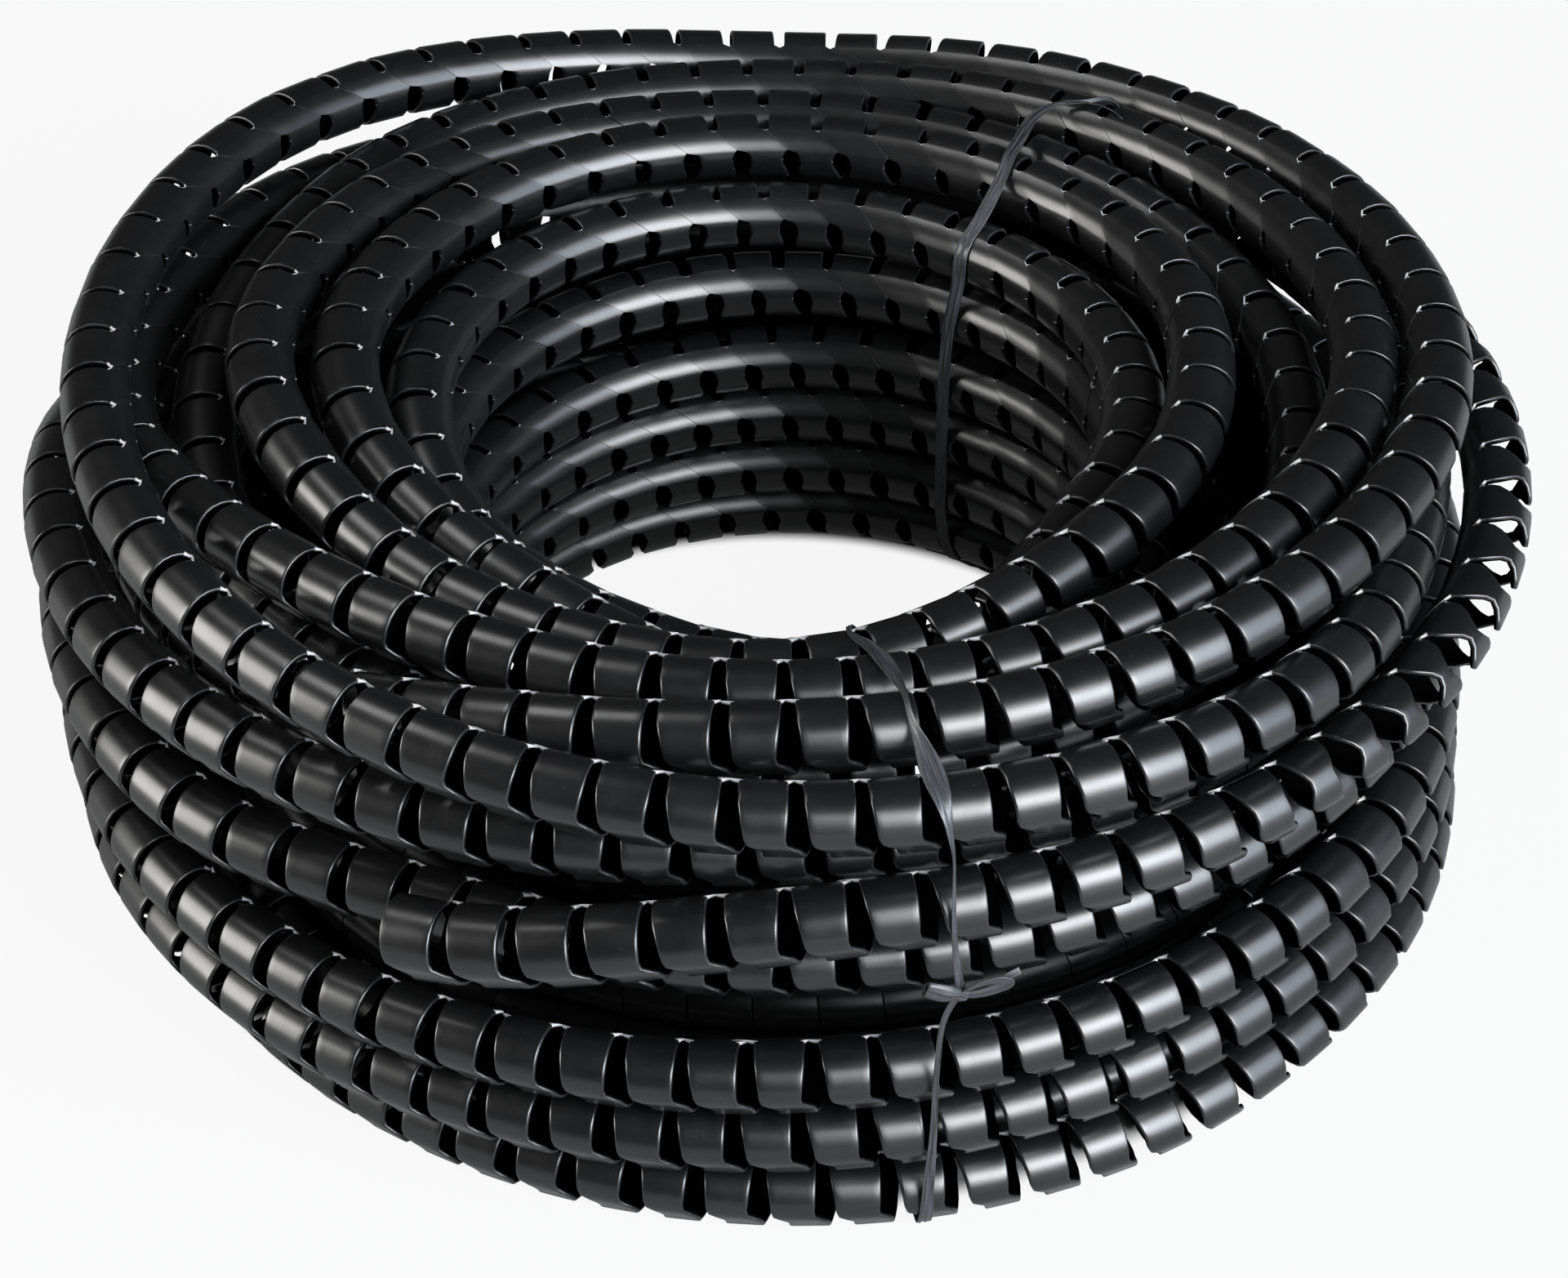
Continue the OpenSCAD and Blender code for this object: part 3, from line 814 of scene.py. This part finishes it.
def makeTieFilm():
    material, tree = newTree("tieFilm")
    along, across = readMark(tree, "along"), readMark(tree, "across")
    position = makeNode(tree, "ShaderNodeTexCoord", out="Object")
    fine, long = tieFilm["strands"]
    strands = noise(tree, vector(tree, across * fine, along * long, 0), 1.0, 4, 0.6)
    cloudy = noise(tree, position, tieFilm["clouds"], 3)
    color = mixColor(tree, ease(tree, strands, 0.35, 0.75), tieFilm["deep"], tieFilm["thin"])
    rough = tieFilm["roughness"] + (strands - 0.5) * 0.25 + (cloudy - 0.5) * 0.15
    bump = makeNode(tree, "ShaderNodeBump", values={
        "Height": strands + cloudy * 0.6, "Distance": tieFilm["reliefDepth"], "Strength": 0.8})
    body = makeNode(tree, "ShaderNodeBsdfPrincipled", values={
        "Base Color": color, "Roughness": rough, "Specular IOR Level": tieFilm["reflection"],
        "Normal": bump})
    makeNode(tree, "ShaderNodeOutputMaterial", values={"Surface": body})
    return material


def dress():
    plastic, film = makeBlackPlastic(), makeTieFilm()
    for piece in sleevePieces:
        piece.data.materials.append(plastic)
    for piece in tiePieces:
        piece.data.materials.append(film)
    for name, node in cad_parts.items():
        node.data.materials.clear()
        node.data.materials.append(film if name.startswith("tie") else plastic)


dress()
print("materials")

studio = {
    "paper": (0.36, 0.36, 0.36, 1),
    "paperShows": 0.09,     # share of the floor that takes shadows, the rest is plain white
    "paperMirrored": 0.93,  # the same share in reflections
    "covered": (0.122, 0.196),  # ring of floor under the coil that is all paper, by its radii
    "coveredEdge": 0.008,   # over which it fades
    "floorHalf": 12,
    "room": 0.03,
    "lampAim": (0, 0, 0.09),
    "lampDistance": 2.0,
}


def makeFloor():
    bm = bmesh.new()
    bmesh.ops.create_grid(bm, x_segments=1, y_segments=1, size=studio["floorHalf"])
    mesh = bpy.data.meshes.new("floor")
    bm.to_mesh(mesh)
    bm.free()
    obj = bpy.data.objects.new("floor", mesh)
    bpy.context.scene.collection.objects.link(obj)
    material, tree = newTree("paleFloor")
    paper = makeNode(tree, "ShaderNodeBsdfDiffuse", values={"Color": studio["paper"]})
    white = makeNode(tree, "ShaderNodeEmission", values={"Color": (1, 1, 1, 1), "Strength": 1.0})
    rays = {key: makeNode(tree, "ShaderNodeLightPath", out=key) for key in (
        "Is Camera Ray", "Is Glossy Ray", "Is Transmission Ray")}
    position = makeNode(tree, "ShaderNodeTexCoord", out="Object")
    reach = makeNode(tree, "ShaderNodeVectorMath", {"operation": "LENGTH"}, {0: position}, out="Value")
    first, last = studio["covered"]
    edge = studio["coveredEdge"]
    covered = ease(tree, reach, first, first + edge) * ease(tree, reach, last, last - edge)
    plain = (rays["Is Camera Ray"] + rays["Is Transmission Ray"]) * (1 - studio["paperShows"])
    plain = (plain + rays["Is Glossy Ray"] * (1 - studio["paperMirrored"])) * (1 - covered)
    both = makeNode(tree, "ShaderNodeMixShader", values={0: plain, 1: paper, 2: white})
    makeNode(tree, "ShaderNodeOutputMaterial", values={"Surface": both})
    mesh.materials.append(material)


def makeWorld():
    world = bpy.data.worlds.new("studio")
    bpy.context.scene.world = world
    world.use_nodes = True
    tree = world.node_tree
    tree.nodes.clear()
    room = makeNode(tree, "ShaderNodeBackground", values={"Color": (1, 1, 1, 1), "Strength": studio["room"]})
    white = makeNode(tree, "ShaderNodeBackground", values={"Color": (1, 1, 1, 1), "Strength": 1.0})
    seen = makeNode(tree, "ShaderNodeLightPath", out="Is Camera Ray")
    through = makeNode(tree, "ShaderNodeLightPath", out="Is Transmission Ray")
    both = makeNode(tree, "ShaderNodeMixShader", values={0: seen + through, 1: room, 2: white})
    makeNode(tree, "ShaderNodeOutputWorld", values={"Surface": both})


lamps = [
    {"name": "rightNear", "toward": (0.56, -0.70, 0.46), "size": (1.2, 0.75), "power": 32,
     "tint": (0.95, 0.98, 1)},
    {"name": "rightWide", "toward": (0.58, -0.68, 0.48), "size": (1.9, 1.55), "power": 50,
     "tint": (0.93, 0.97, 1)},
    {"name": "rightSide", "toward": (0.88, -0.35, 0.35), "size": (1.4, 1.4), "power": 28,
     "tint": (0.78, 0.87, 1)},
    {"name": "leftSide", "toward": (-0.90, -0.10, 0.25), "size": (1.0, 1.2), "power": 36,
     "tint": (1, 0.99, 0.97)},
    {"name": "overhead", "toward": (-0.42, 0.15, 0.90), "size": (0.7, 0.5), "power": 6,
     "tint": (1, 1, 1)},
]


def makeLamps():
    aim = Vector(studio["lampAim"])
    for lamp in lamps:
        data = bpy.data.lights.new(lamp["name"], "AREA")
        data.shape = "RECTANGLE"
        data.size, data.size_y = lamp["size"]
        data.energy = lamp["power"]
        data.color = lamp["tint"]
        obj = bpy.data.objects.new(lamp["name"], data)
        bpy.context.scene.collection.objects.link(obj)
        toward = Vector(lamp["toward"]).normalized()
        obj.location = aim + toward * studio["lampDistance"]
        obj.rotation_euler = (-toward).to_track_quat("-Z", "Y").to_euler()


makeFloor()
makeWorld()
makeLamps()
bpy.context.scene.view_settings.view_transform = "Standard"
print("studio lit")
